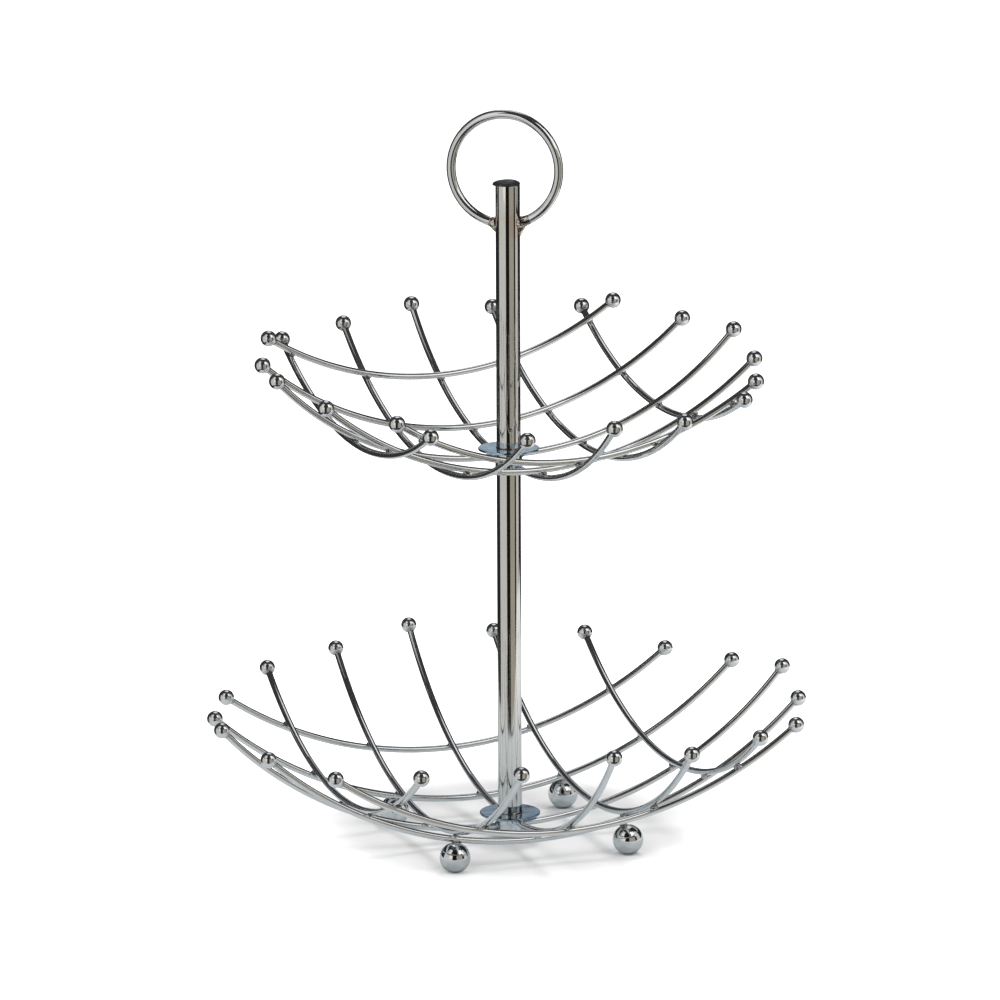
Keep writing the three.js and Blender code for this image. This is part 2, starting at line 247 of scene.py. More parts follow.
class Recipe(NodeTree):
    """The shader tree of one material or of the world."""

    def __init__(self, owner):
        owner.use_nodes = True
        super().__init__(owner.node_tree)
        self.tree.nodes.clear()

    def place(self):
        return self.node("ShaderNodeTexCoord", output="Object")

    def stretched(self, place, scale, turn=0.0):
        """A place with its axes scaled, after a turn in degrees about the vertical."""
        return self.node("ShaderNodeMapping", values={
            "Vector": place, "Rotation": (0, 0, math.radians(turn)), "Scale": scale})

    def noise(self, place, scale, detail=2.0, roughness=0.5):
        return self.node("ShaderNodeTexNoise", values={
            "Vector": place, "Scale": scale, "Detail": detail, "Roughness": roughness}, output="Fac")

    def mask(self, signal, low, high):
        """0 below low, 1 above high, smooth between."""
        return self.node("ShaderNodeMapRange", {"interpolation_type": "SMOOTHSTEP"}, {
            "Value": signal, "From Min": low, "From Max": high})

    def vector(self, operation, first, second=(0, 0, 0), output="Vector"):
        return self.node("ShaderNodeVectorMath", {"operation": operation}, {
            0: first, 1: second}, output)

    def distance(self, place, point, squash=(1, 1, 1)):
        """How far a place is from a point, with each axis weighed."""
        weighed = self.vector("MULTIPLY", self.vector("SUBTRACT", place, point), squash)
        return self.vector("LENGTH", weighed, output="Value")

    def along(self, place, way):
        """How far a place is along a direction."""
        return self.vector("DOT_PRODUCT", place, way, "Value")

    def rays(self, *kinds):
        """For each kind of light path that is named, 1 for its rays and 0 for others."""
        path = self.tree.nodes.new("ShaderNodeLightPath").outputs
        return [Signal(self, path[f"Is {kind} Ray"]) for kind in kinds]

    def blend(self, factor, first, second):
        """A colour between two colours."""
        return self.node("ShaderNodeMix", {"data_type": "RGBA"}, {
            0: factor, 6: opaque(first), 7: opaque(second)}, 2)

    def bump(self, height, strength, distance):
        return self.node("ShaderNodeBump", values={
            "Height": height, "Strength": strength, "Distance": distance})

    def surface(self, values):
        """The finished surface, from a Principled shader."""
        self.finish(self.node("ShaderNodeBsdfPrincipled", values=values))

    def finish(self, shader, kind="ShaderNodeOutputMaterial"):
        self.node(kind, values={"Surface": shader})


def opaque(shade):
    """A colour with its alpha, or a signal as it is."""
    return shade if isinstance(shade, Signal) else (*shade, 1)


class NodeGroup(NodeTree):
    """A Geometry Nodes tree with named sizes and a material as its inputs."""

    def __init__(self, name, sizes):
        super().__init__(bpy.data.node_groups.new(name, "GeometryNodeTree"))
        self.tree.is_modifier = True
        face = self.tree.interface
        face.new_socket(name="Geometry", in_out="INPUT", socket_type="NodeSocketGeometry")
        for label, default in sizes.items():
            kind = "NodeSocketInt" if isinstance(default, int) else "NodeSocketFloat"
            face.new_socket(name=label, in_out="INPUT", socket_type=kind).default_value = default
        face.new_socket(name="Material", in_out="INPUT", socket_type="NodeSocketMaterial")
        face.new_socket(name="Geometry", in_out="OUTPUT", socket_type="NodeSocketGeometry")
        self.start = self.tree.nodes.new("NodeGroupInput")

    def given(self, label):
        return Signal(self, self.start.outputs[label])

    def attribute(self, name, kind="FLOAT"):
        return self.node("GeometryNodeInputNamedAttribute", {"data_type": kind}, {"Name": name})

    def scaled(self, vector, factor):
        return self.node("ShaderNodeVectorMath", {"operation": "SCALE"}, {
            0: vector, "Scale": factor})

    def finish(self, geometry):
        """Ends the tree: realized, shaded smooth, and with its material."""
        real = self.node("GeometryNodeRealizeInstances", values={"Geometry": geometry})
        smooth = self.node("GeometryNodeSetShadeSmooth", values={"Geometry": real})
        done = self.node("GeometryNodeSetMaterial", values={
            "Geometry": smooth, "Material": self.given("Material")})
        self.node("NodeGroupOutput", values={0: done})
        return self.tree


# ---- Materials -------------------------------------------------------------------------------


def colours():
    return bpy.context.scene.basket_colours


def toned(shade, share, lift=0.0):
    """A colour made darker or lighter."""
    return tuple(min(1, part * share + lift) for part in shade)


def made_of(finish, *words):
    """The material of a finish. The first piece that asks for it has it made."""
    name = "_".join((finish.__name__, *words))
    material = bpy.data.materials.get(name)
    if not material:
        material = bpy.data.materials.new(name)
        recipe = Recipe(material)
        finish(recipe, recipe.place(), *words)
    return material


def chromed_drawn_bar(recipe, place):
    """Chromed drawn bar: hazy and specked in places, softly rippled, and dull at its ball's weld."""
    haze = recipe.mask(recipe.noise(place, 38, 3), 0.42, 0.72)
    specks = recipe.mask(recipe.noise(place, 900, 2), 0.62, 0.72)
    joint = recipe.node("ShaderNodeAttribute", {"attribute_name": "joint"}, output="Fac")
    bright = recipe.blend(haze * 0.6, colours().chrome, colours().chrome_haze)
    recipe.surface({
        "Base Color": recipe.blend(joint * 0.6, bright, colours().weld),
        "Metallic": 0.98 - haze * 0.012,
        "Roughness": 0.05 + haze * 0.05 + specks * 0.08 + joint * 0.22,
        "Normal": recipe.bump(recipe.noise(place, 110, 2), 0.08, 0.10 * MM),
    })


def chromed_tube(recipe, place):
    """Chromed tube: polishing lines along it, and heat tint beside the brazed joints."""
    lines = recipe.noise(recipe.stretched(place, (1, 1, 0.08)), 520, 2)
    haze = recipe.mask(recipe.noise(place, 30, 3), 0.45, 0.75)
    shade = recipe.blend(haze * 0.6, colours().tube, colours().chrome_haze)
    ring = RingPath(bpy.context.scene.basket_column)
    for end in (ring.left, ring.right):
        mottled = (recipe.distance(place, tuple(ring.at(end)), (1, 1, 0.62))
                   + recipe.noise(place, 140, 2) * 0.007)
        near = 1 - recipe.mask(mottled, 5.5 * MM, 14 * MM)
        shade = recipe.blend(near * 0.75, shade, colours().heat_tint)
    recipe.surface({
        "Base Color": shade,
        "Metallic": 1.0,
        "Roughness": 0.045 + haze * 0.04 + lines * 0.03,
        "Normal": recipe.bump(lines, 0.03, 0.03 * MM),
    })


def chromed_ball(recipe, place):
    """Chromed steel ball feet: the brightest metal, with faint haze and pits."""
    haze = recipe.mask(recipe.noise(place, 55, 3), 0.45, 0.75)
    pits = recipe.mask(recipe.noise(place, 1100, 2), 0.66, 0.74)
    recipe.surface({
        "Base Color": recipe.blend(haze * 0.5, colours().chrome, colours().chrome_haze),
        "Metallic": 1.0,
        "Roughness": 0.04 + haze * 0.04 + pits * 0.12,
        "Normal": recipe.bump(recipe.noise(place, 120, 2), 0.06, 0.10 * MM),
    })


def blue_bright_plate(recipe, place, tier):
    """Blue-bright pressed plate, brushed both ways and smeared; painted shade darkens the lower one."""
    brushed = recipe.mask(recipe.noise(recipe.stretched(place, (1, 0.12, 1), 35), 900, 3), 0.38, 0.62)
    streaks = recipe.mask(recipe.noise(recipe.stretched(place, (0.2, 1, 1)), 420, 3), 0.42, 0.62)
    smears = recipe.mask(recipe.noise(place, 120, 3), 0.40, 0.65)
    # The lower plate gets a darker copy of the same finish: painted shade.
    full = toned(colours().plate, PLATE_PAINTED_SHADE[tier])
    bright = recipe.blend(smears * 0.6 + brushed * 0.3, full, toned(full, 1.25, 0.10))
    recipe.surface({
        "Base Color": recipe.blend(streaks * 0.5, bright, toned(full, 0.55)),
        "Metallic": 1.0,
        "Roughness": 0.09 + brushed * 0.06 + smears * 0.05,
        "Normal": recipe.bump(brushed * 0.008 * MM, 1.0, 1.0),
    })


def plated_weld(recipe, place):
    """Plated-over weld metal: darker and rougher than the bar it joins."""
    soot = recipe.mask(recipe.noise(place, 420, 2), 0.4, 0.65)
    recipe.surface({
        "Base Color": recipe.blend(0.35 + soot * 0.65, colours().chrome_haze, colours().weld),
        "Metallic": 1.0,
        "Roughness": 0.14 + soot * 0.2,
        "Normal": recipe.bump(recipe.noise(place, 900, 3, 0.6), 0.45, 0.25 * MM),
    })


def plated_braze(recipe, place):
    """Plated brass filler: brown-grey, sooty in places, with rose-white patches of painted highlight."""
    # The rose-white patches are painted highlights.
    painted_highlight_patches = recipe.mask(recipe.noise(place, 380, 3), 0.40, 0.58)
    soot = recipe.mask(recipe.noise(place, 560, 2), 0.50, 0.64)
    metal = recipe.blend(painted_highlight_patches, colours().braze, toned(colours().braze, 0.9, 0.55))
    recipe.surface({
        "Base Color": recipe.blend(soot * 0.8, metal, toned(colours().braze, 0.40)),
        "Metallic": 1.0,
        "Roughness": 0.10 + soot * 0.14,
        "Normal": recipe.bump(recipe.noise(place, 700, 3, 0.6), 0.45, 0.35 * MM),
    })


def turned_steel(recipe, place):
    """Plain turned steel: tool rings across the axis and an oiled, uneven grey."""
    rings = recipe.noise(recipe.stretched(place, (0.05, 0.05, 1)), 3200, 1)
    oil = recipe.noise(place, 160, 3)
    recipe.surface({
        "Base Color": recipe.blend(
            recipe.mask(oil, 0.35, 0.7), colours().steel, toned(colours().steel, 0.55)),
        "Metallic": 1.0,
        "Roughness": 0.26 + oil * 0.18,
        "Normal": recipe.bump(rings, 0.35, 0.05 * MM),
    })


def moulded_black_plastic(recipe, place):
    """Moulded black plastic: fine leather-like grain, rubbed paler in places."""
    grain = recipe.noise(place, 1700, 3, 0.6)
    rubbed = recipe.mask(recipe.noise(place, 230, 3), 0.42, 0.68)
    recipe.surface({
        "Base Color": recipe.blend(
            rubbed, colours().plastic, toned(colours().plastic, 2.2, 0.004)),
        "Roughness": 0.42 - rubbed * 0.10 + grain * 0.08,
        "Normal": recipe.bump(grain, 0.30, 0.06 * MM),
        "IOR": 1.5,
    })


# ---- Meshes ----------------------------------------------------------------------------------


def mesh_of(name, shape):
    """The plain mesh of a shape in hand."""
    mesh = bpy.data.meshes.new(name)
    shape.to_mesh(mesh)
    shape.free()
    return mesh


def mesh_piece(name, mesh, material=None):
    """An object at the origin for a mesh that already has its place."""
    piece = bpy.data.objects.new(name, mesh)
    bpy.context.scene.collection.objects.link(piece)
    if material:
        mesh.materials.append(material)
    return piece


def tidy_mesh(mesh, smooth_below=math.radians(40)):
    """Merges doubles, turns faces outwards, and shades smooth except at sharp edges."""
    shape = bmesh.new()
    shape.from_mesh(mesh)
    bmesh.ops.remove_doubles(shape, verts=shape.verts, dist=0.002 * MM)
    bmesh.ops.recalc_face_normals(shape, faces=shape.faces)
    for face in shape.faces:
        face.smooth = True
    for edge in shape.edges:
        edge.smooth = len(edge.link_faces) != 2 or edge.calc_face_angle(0) < smooth_below
    shape.to_mesh(mesh)
    shape.free()
    return mesh


def rounded_profile(corners, size, steps=4):
    """A profile of (radius, height) corners with each corner cut to a small round."""
    points = []
    for (before, corner, after) in zip(corners[-1:] + corners[:-1], corners,
                                       corners[1:] + corners[:1]):
        corner = Vector(corner)
        to_last = Vector(before) - corner
        to_next = Vector(after) - corner
        reach = min(size, to_last.length * 0.45, to_next.length * 0.45)
        start = corner + to_last.normalized() * reach
        end = corner + to_next.normalized() * reach
        for step in range(steps + 1):
            part = step / steps
            points.append((1 - part) ** 2 * start + 2 * part * (1 - part) * corner + part ** 2 * end)
    return [tuple(point) for point in points]


def turned_mesh(name, profile, axis=(0, 0), sides=ROUND_SIDES, closed=True):
    """A profile of (radius, height) points turned about a vertical axis."""
    shape = bmesh.new()
    rings = []
    for radius, height in profile:
        rings.append([shape.verts.new((
            axis[0] + radius * math.cos(math.tau * side / sides),
            axis[1] + radius * math.sin(math.tau * side / sides), height)) for side in range(sides)])
    pairs = list(zip(rings, rings[1:]))
    if closed:
        pairs.append((rings[-1], rings[0]))
    for low, high in pairs:
        for side in range(sides):
            other = (side + 1) % sides
            shape.faces.new((low[side], low[other], high[other], high[side]))
    return tidy_mesh(mesh_of(name, shape))


def polished_turning(node, profile, material, **turning):
    """A smooth turned piece that stands for one CAD node."""
    name = f"{node}_polished"
    mesh = turned_mesh(name, profile, **turning)
    return finish_piece(mesh_piece(name, mesh, material), CHROME_SLOT, node)


def settled(piece, material=None):
    """Turns a piece's modifiers into its plain mesh."""
    graph = bpy.context.evaluated_depsgraph_get()
    mesh = bpy.data.meshes.new_from_object(
        piece.evaluated_get(graph), preserve_all_data_layers=True, depsgraph=graph)
    piece.modifiers.clear()
    piece.data = mesh
    if material and not mesh.materials:
        mesh.materials.append(material)
    return piece


def finish_piece(piece, slot, *nodes):
    """Attaches a piece to the root body and hides the CAD nodes that it stands for. Its slot is not used.
    """
    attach(piece, "root")
    if nodes:
        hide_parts(*nodes)
    return piece


# ---- Geometry Nodes --------------------------------------------------------------------------


def swept_bar_group():
    """A path's edges swept as round bar. The path's swell attribute scales the bar along it."""
    group = NodeGroup("Swept round bar", {"Bar Diameter": 3.5 * MM, "Sides": 24})
    path = group.node("GeometryNodeMeshToCurve", values={"Mesh": group.given("Geometry")})
    ring = group.node("GeometryNodeCurvePrimitiveCircle", values={
        "Resolution": group.given("Sides"), "Radius": group.given("Bar Diameter") * 0.5})
    bar = group.node("GeometryNodeCurveToMesh", values={
        "Curve": path, "Profile Curve": ring, "Scale": group.attribute("swell")})
    return group.finish(group.node("GeometryNodeMergeByDistance", values={
        "Geometry": bar, "Distance": 0.001 * MM}))


def weld_group():
    """A lumpy nugget of weld metal on every point, pressed along the point's own direction."""
    group = NodeGroup("Weld nuggets", {
        "Nugget Diameter": 3.9 * MM, "Nugget Height": 2.2 * MM, "Variation": 0.18,
        "Lumps": 0.35 * MM, "Seed": 1})
    across, variation = group.given("Nugget Diameter"), group.given("Variation")
    chance = group.node("FunctionNodeRandomValue", {"data_type": "FLOAT"}, {
        2: 1 - variation, 3: 1 + variation, "Seed": group.given("Seed")}, 1)
    form = group.node("ShaderNodeCombineXYZ", values={
        0: across, 1: across, 2: group.given("Nugget Height")})
    facing = group.node("FunctionNodeAlignRotationToVector", {"axis": "Z"}, {
        "Vector": group.attribute("pressing", "FLOAT_VECTOR")})
    drop = group.node("GeometryNodeMeshIcoSphere", values={"Radius": 0.5, "Subdivisions": 4})
    drops = group.node("GeometryNodeInstanceOnPoints", values={
        "Points": group.given("Geometry"), "Instance": drop, "Rotation": facing,
        "Scale": group.scaled(form, chance * group.attribute("size"))})
    real = group.node("GeometryNodeRealizeInstances", values={"Geometry": drops})
    noise = group.node("ShaderNodeTexNoise", values={"Scale": 620.0, "Detail": 2.0}, output="Fac")
    outward = group.scaled(
        group.node("GeometryNodeInputNormal"), (noise - 0.5) * group.given("Lumps"))
    return group.finish(group.node("GeometryNodeSetPosition", values={
        "Geometry": real, "Offset": outward}))


def node_group(name, maker):
    return bpy.data.node_groups.get(name) or maker()


def through_nodes(piece, group, inputs):
    """Runs a piece's mesh through a Geometry Nodes tree and keeps the plain result."""
    modifier = piece.modifiers.new(group.name, "NODES")
    modifier.node_group = group
    for item in group.interface.items_tree:
        if item.in_out == "INPUT" and item.name in inputs:
            modifier[item.identifier] = inputs[item.name]
    piece.update_tag()
    bpy.context.view_layer.update()
    settled(piece)
    tidy_mesh(piece.data, math.radians(60))
    return piece


def add_layer(mesh, label, values, kind="FLOAT", field="value"):
    """Gives each point of a mesh a named value."""
    mesh.attributes.new(label, kind, "POINT").data.foreach_set(field, values)


def swept_bar(name, stations, diameter, sides, material):
    """A piece of round bar along a path of (place, swell) or (place, swell, joint) stations."""
    mesh = bpy.data.meshes.new(name)
    mesh.from_pydata([tuple(station[0]) for station in stations],
                     [(index, index + 1) for index in range(len(stations) - 1)], [])
    for place, label in ((1, "swell"), (2, "joint")):
        add_layer(mesh, label, [float((*station, 0)[place]) for station in stations])
    return through_nodes(mesh_piece(name, mesh), node_group("Swept round bar", swept_bar_group), {
        "Bar Diameter": diameter, "Sides": sides, "Material": material})


def welds(name, spots, seed, sizes):
    """One piece of weld nuggets from (place, direction, size) spots."""
    mesh = bpy.data.meshes.new(name)
    mesh.from_pydata([tuple(place) for place, _, _ in spots], [], [])
    add_layer(mesh, "pressing", np.array([way for _, way, _ in spots]).ravel(),
              "FLOAT_VECTOR", "vector")
    add_layer(mesh, "size", [float(size) for _, _, size in spots])
    piece = through_nodes(mesh_piece(name, mesh), node_group("Weld nuggets", weld_group), {
        "Nugget Diameter": sizes.nugget_diameter, "Nugget Height": sizes.nugget_height,
        "Variation": sizes.nugget_variation, "Seed": seed, "Material": made_of(plated_weld)})
    return finish_piece(piece, CHROME_SLOT)


# ---- Bent rods -------------------------------------------------------------------------------


def fitted_circle(points):
    """The centre, radius and normal of the circle that bent bar follows, from its corners."""
    middle = points.mean(0)
    across, _, normal = np.linalg.svd(points - middle, full_matrices=False)[2]
    flat = (points - middle) @ np.array([across, np.cross(normal, across)]).T
    system = np.column_stack([2 * flat, np.ones(len(flat))])
    found = np.linalg.lstsq(system, (flat ** 2).sum(1), rcond=None)[0]
    centre = middle + found[0] * across + found[1] * np.cross(normal, across)
    return centre, math.sqrt(found[2] + found[0] ** 2 + found[1] ** 2), normal


class Bend:
    """The arc that a CAD rod follows: its centre, radius, in-plane directions and end angles."""

    def __init__(self, node, ball_radius):
        points = node_points(node)
        self.centre, self.radius, normal = fitted_circle(points)
        down = points.mean(0) - self.centre
        self.down = down / np.linalg.norm(down)
        self.side = np.cross(normal, self.down)
        angles = np.arctan2((points - self.centre) @ self.side, (points - self.centre) @ self.down)
        low, high = angles.min(), angles.max()
        at_low = np.hypot(*self.at(low)[:2])
        at_high = np.hypot(*self.at(high)[:2])
        self.whole = min(at_low, at_high) > HALF_ROD_END
        if not self.whole and at_high < at_low:
            self.side = -self.side
            low, high = -high, -low
        ball = ball_radius / self.radius
        self.start = low + ball if self.whole else low
        self.end = high - ball

    def at(self, angle):
        return self.centre + self.radius * (
            math.cos(angle) * self.down + math.sin(angle) * self.side)

    def places(self):
        """Places all along the middle line, as rows."""
        return np.array([self.at(turn) for turn in np.linspace(self.start, self.end, SEARCH_STEPS)])


def soft_most(first, second, softness):
    """The larger of two sizes, with a fillet where they are nearly the same."""
    if min(first, second) <= 0:
        return max(first, second, 0)
    nearness = max(softness - abs(first - second), 0) / softness
    return max(first, second) + nearness ** 2 * softness / 4


def bar_radius(distance, start, end, whole, sizes):
    """A rod's radius at a distance along its bend, balls and welds included."""
    ball = sizes.ball_diameter / 2
    size = sizes.rod_diameter / 2 if start <= distance <= end else 0
    for middle in ([start, end] if whole else [end]):
        away = abs(distance - middle)
        if away < ball:
            size = soft_most(size, math.sqrt(ball ** 2 - away ** 2), sizes.ball_weld * 2)
    return size


def ball_stations(middle, outward, sizes):
    """Distances that run from a little way up the rod, over the ball, to its pole."""
    ball = sizes.ball_diameter / 2
    join = math.pi - math.asin(sizes.rod_diameter / sizes.ball_diameter)
    neck = [middle + outward * (ball * math.cos(join) - reach * MM) for reach in NECK_STEPS]
    angles = [join * (1 - step / BALL_STEPS) for step in range(BALL_STEPS + 1)]
    return neck + [middle + outward * ball * math.cos(turn) for turn in angles]


def rod_stations(bend, sizes):
    """The (place, swell, joint) stations of one rod."""
    start, end = bend.start * bend.radius, bend.end * bend.radius
    spread = list(np.linspace(start, end, ROD_STEPS + 1)[1:-1])
    margin = sizes.ball_diameter / 2 + BALL_CLEAR
    distances = [place for place in spread if place < end - margin
                 and (place > start + margin or not bend.whole)]
    distances += ball_stations(end, 1, sizes)
    stations = []
    if bend.whole:
        distances += ball_stations(start, -1, sizes)
    else:
        stations = [(start + reach, swell) for reach, swell in CUT_END]
        distances = [place for place in distances if place > start + CUT_CLEAR]
    rod = sizes.rod_diameter / 2
    stations += [(place, bar_radius(place, start, end, bend.whole, sizes) / rod)
                 for place in sorted(distances)]
    join = math.sqrt(sizes.ball_diameter ** 2 - sizes.rod_diameter ** 2) / 2
    joins = [end - join, start + join] if bend.whole else [end - join]
    return [(bend.at(place / bend.radius), swell, joint_share(place, joins))
            for place, swell in stations]


def joint_share(place, joins):
    """1 at the weld line between a rod and its ball, fading to 0 a little way off."""
    away = min(abs(place - join) for join in joins)
    return max(0, 1 - away / JOINT_REACH) ** 0.7


def tier_bends(tier):
    """Each CAD rod's name and bend in one bowl, inner layer first."""
    nodes = sorted(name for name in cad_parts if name.startswith(tier) and "_rod_" in name)
    if len(nodes) != RODS_PER_BOWL:
        raise RuntimeError(f"the {tier} bowl has {len(nodes)} rods, not {RODS_PER_BOWL}")
    ball = bpy.context.scene.basket_rods.ball_diameter / 2
    return {node: Bend(node, ball) for node in nodes}


def layer_bends(bends, layer):
    return [bend for node, bend in bends.items() if f"_{layer}_" in node]


def crossings(bends):
    """Where each inner rod lies on an outer rod, as (place, direction) pairs."""
    spots = []
    for inner in layer_bends(bends, "inner"):
        one = inner.places()
        for outer in layer_bends(bends, "outer"):
            other = outer.places()
            gaps = ((one[:, None] - other[None]) ** 2).sum(2)
            here, there = np.unravel_index(gaps.argmin(), gaps.shape)
            apart = one[here] - other[there]
            gap = np.linalg.norm(apart)
            if gap < WELD_GAP:
                spots.append(((one[here] + other[there]) / 2, apart / gap))
    return spots


class BASKET_OT_rods(bpy.types.Operator):
    """Makes every ball-ended rod of both bowls as smooth chromed bar"""

    bl_idname = "basket.rods"
    bl_label = "Ball-ended rods"

    def execute(self, context):
        sizes = context.scene.basket_rods
        for tier in TIERS:
            for node, bend in tier_bends(tier).items():
                piece = swept_bar(f"{node}_polished", rod_stations(bend, sizes),
                                  sizes.rod_diameter, sizes.sides, made_of(chromed_drawn_bar))
                finish_piece(piece, CHROME_SLOT, node)
        return {"FINISHED"}


class BASKET_OT_welds(bpy.types.Operator):
    """Makes the weld metal where rods cross, butt on a hub sleeve or stand on a foot"""

    bl_idname = "basket.welds"
    bl_label = "Welds"

    def execute(self, context):
        sizes = context.scene.basket_rods
        for seed, tier in enumerate(TIERS, FIRST_WELD_SEED):
            bends = tier_bends(tier)
            spots = [(*spot, 1.0) for spot in crossings(bends)]
            for bend in bends.values():
                if not bend.whole:
                    way = bend.at(bend.start + 0.01) - bend.at(bend.start)
                    spots.append((bend.at(bend.start), way / np.linalg.norm(way), SLEEVE_WELD))
            if tier == "lower":
                spots += [(*spot, FOOT_WELD) for spot in foot_welds(bends, sizes)]
            welds(f"{tier}_bowl_welds", spots, seed, sizes)
        return {"FINISHED"}


# ---- Feet ------------------------------------------------------------------------------------


def foot_nodes():
    return sorted(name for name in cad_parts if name.endswith("_foot"))


def foot_ball(node):
    """A foot's middle and radius."""
    low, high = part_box(node)
    radius = (high.x - low.x) / 2
    flat = bpy.context.scene.basket_column.foot_flat / 2
    height = low.z + math.sqrt(radius ** 2 - flat ** 2)
    return Vector(((low.x + high.x) / 2, (low.y + high.y) / 2, height)), radius


def foot_welds(bends, sizes):
    """The weld between each foot and the outer rod above it, as (place, direction) pairs."""
    places = np.concatenate([bend.places() for bend in layer_bends(bends, "outer")])
    spots = []
    for node in foot_nodes():
        middle, radius = foot_ball(node)
        middle = np.array(middle)
        nearest = places[((places - middle) ** 2).sum(1).argmin()]
        reach = np.linalg.norm(nearest - middle)
        way = (nearest - middle) / reach
        top = max(radius, reach - sizes.rod_diameter / 2)
        for height in np.arange(radius, top + 0.4 * MM, FOOT_WELD_STEP):
            spots.append((middle + way * height, way))
    return spots


class BASKET_OT_feet(bpy.types.Operator):
    """Makes the four chromed ball feet, each with the flat that it stands on"""

    bl_idname = "basket.feet"
    bl_label = "Ball feet"

    def execute(self, context):
        flat = context.scene.basket_column.foot_flat / 2
        for node in foot_nodes():
            middle, radius = foot_ball(node)
            edge = math.asin(flat / radius)
            turns = [edge + (math.pi - edge) * step / FOOT_RINGS for step in range(FOOT_RINGS)]
            profile = [(0, middle.z - radius * math.cos(edge))]
            profile += [(radius * math.sin(turn), middle.z - radius * math.cos(turn))
                        for turn in turns]
            profile.append((0, middle.z + radius))
            polished_turning(node, profile, made_of(chromed_ball), axis=middle[:2],
                             sides=FOOT_SIDES, closed=False)
        return {"FINISHED"}


# ---- Hubs ------------------------------------------------------------------------------------


class BASKET_OT_hubs(bpy.types.Operator):
    """Makes the round hub plates, the sleeves under them, and the bead round each tube's foot"""

    bl_idname = "basket.hubs"
    bl_label = "Hub plates and sleeves"

    def execute(self, context):
        sizes = context.scene.basket_column
        for tier in TIERS:
            self.plate(tier, sizes)
            self.sleeve(tier, sizes)
            self.bead(tier, sizes)
        return {"FINISHED"}

    def plate(self, tier, sizes):
        """A flat round plate with a bore."""
        node = f"{tier}_hub_plate"
        low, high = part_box(node)
        bore = from_axis(node_points(node)).min()
        corners = [(bore, low.z), (high.x, low.z), (high.x, high.z), (bore, high.z)]
        profile = rounded_profile(corners, sizes.edge_round * 1.4, 5)
        polished_turning(node, profile, made_of(blue_bright_plate, tier))

    def sleeve(self, tier, sizes):
        """A sleeve, with its screw's counterbore where it has one."""
        node = f"{tier}_hub_sleeve"
        low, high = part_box(node)
        points = node_points(node)
        reach = from_axis(points)
        bore = reach.min()
        corners = [(bore, high.z), (bore, low.z), (high.x, low.z), (high.x, high.z)]
        between = (reach > bore + 0.5 * MM) & (reach < high.x - 0.5 * MM)
        if between.any():
            wide, step = reach[between].max(), points[between, 2].max()
            corners = [(bore, high.z), (bore, step), (wide, step), (wide, low.z),
                       (high.x, low.z), (high.x, high.z)]
        polished_turning(node, rounded_profile(corners, sizes.edge_round),
                         made_of(chromed_drawn_bar))

    def bead(self, tier, sizes):
        """The bead of weld between a tube's foot and its plate, sunk a little into both."""
        name = f"{tier}_tube_foot_bead"
        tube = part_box(f"{tier}_tube")[1].x
        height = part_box(f"{tier}_hub_plate")[1].z
        bead = sizes.foot_fillet
        within, below = tube - 0.2 * MM, height - 0.1 * MM
        profile = [(within, below), (tube + bead, below)]
        for step in range(BEAD_STEPS + 1):
            turn = math.pi / 2 * step / BEAD_STEPS
            profile.append((tube + bead * (1 - math.sin(turn) * 0.85),
                            height + bead * (1 - math.cos(turn)) * 0.9 + 0.03 * MM))
        profile.append((within, profile[-1][1]))
        piece = mesh_piece(name, turned_mesh(name, profile), made_of(plated_weld))
        finish_piece(piece, CHROME_SLOT)


# ---- Column ----------------------------------------------------------------------------------


class RingPath:
    """The circle that the carrying ring follows, and the angles at which it meets the tube."""

    def __init__(self, sizes):
        centre, self.radius, normal = fitted_circle(node_points("carrying_ring"))
        self.middle = Vector(centre)
        self.way = math.copysign(1, normal[1]) * Vector((normal[1], -normal[0], 0))
        self.way.normalize()
        shift = self.middle.dot(self.way)
        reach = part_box("upper_tube")[1].x + sizes.ring_wire * 0.08
        self.left = -math.asin((reach + shift) / self.radius)
        self.right = math.asin((reach - shift) / self.radius)

    def at(self, angle):
        """A point of the ring's middle line. Angle 0 is straight down."""
        return self.middle + self.radius * (
            math.sin(angle) * self.way - math.cos(angle) * Vector((0, 0, 1)))


class BASKET_OT_column(bpy.types.Operator):
    """Makes the two column tubes, with softened ends and heat tint beside the ring"""

    bl_idname = "basket.column"
    bl_label = "Column tubes"

    def execute(self, context):
        sizes = context.scene.basket_column
        for tier in TIERS:
            node = f"{tier}_tube"
            low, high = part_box(node)
            bore = high.x - sizes.tube_wall
            corners = [(bore, high.z), (bore, low.z), (high.x, low.z), (high.x, high.z)]
            polished_turning(node, rounded_profile(corners, sizes.edge_round),
                             made_of(chromed_tube))
        return {"FINISHED"}


